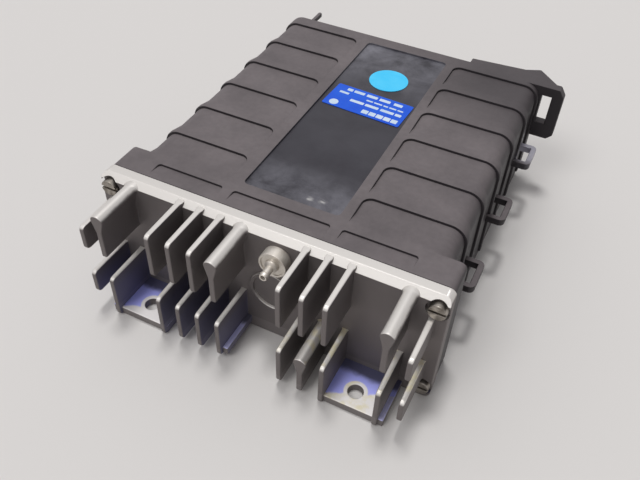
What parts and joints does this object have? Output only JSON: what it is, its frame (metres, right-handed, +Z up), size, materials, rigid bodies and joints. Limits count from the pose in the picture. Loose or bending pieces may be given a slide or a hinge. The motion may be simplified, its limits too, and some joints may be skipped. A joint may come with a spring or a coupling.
{
  "type": "engine control unit",
  "caption": "Engine control unit: ribbed plastic housing with label recess, strap loops and a rear plug socket, closed by a cast finned end plate with two drilled feet and a pressure port",
  "frame": {"origin": "midway between the two foot holes, on the plane the unit stands on", "axes": "+X across the unit to the side with the slotted lug, +Y from the fins to the plug socket, +Z up"},
  "size_m": [0.1584, 0.19, 0.0585],
  "materials": {
    "housing_plastic": "fine eroded texture",
    "cast_aluminium": "as cast, worn bright on the edges",
    "seal_rubber": "matt",
    "screw_steel": "zinc plated, dulled",
    "port_metal": "turned",
    "nut_brass": "turned",
    "hose_rubber": "matt",
    "sensor_plastic": "moulded",
    "label_film": "printed film",
    "sticker_film": "film",
    "board_laminate": "solder resist",
    "spacer_brass": "turned",
    "board_screw_steel": "zinc plated",
    "header_plastic": "moulded",
    "socket_plastic": "moulded",
    "blade_metal": "tin plated",
    "chip_epoxy": "moulded",
    "pad_silicone": "matt",
    "clamp_steel": "rolled strip",
    "crystal_can": "drawn can",
    "capacitor_sleeve": "shrunk sleeve",
    "film_case": "dipped",
    "resistor_cement": "cement coat",
    "choke_winding": "lacquered wire"
  },
  "bodies": {
    "root": {"housing": "housing_plastic", "heat_sink": "cast_aluminium", "flange_seal": "seal_rubber", "flange_screws": "screw_steel", "pressure_port": "port_metal", "port_seal": "seal_rubber", "port_nut": "nut_brass", "pressure_hose": "hose_rubber", "pressure_sensor": "sensor_plastic", "blue_label": "label_film", "round_sticker": "sticker_film", "lower_board": "board_laminate", "upper_board": "board_laminate", "board_spacers": "spacer_brass", "board_screws": "board_screw_steel", "bridge_header": "header_plastic", "bridge_socket": "header_plastic", "plug_socket": "socket_plastic", "plug_blades": "blade_metal", "power_transistors": "chip_epoxy", "insulating_pad": "pad_silicone", "clamp_bar": "clamp_steel", "clamp_screws": "board_screw_steel", "microcontroller": "chip_epoxy", "program_memory": "chip_epoxy", "memory_socket": "header_plastic", "driver_chips": "chip_epoxy", "crystal": "crystal_can", "electrolytic_capacitors": "capacitor_sleeve", "film_capacitors": "film_case", "power_resistors": "resistor_cement", "choke": "choke_winding"}
  },
  "joints": []
}
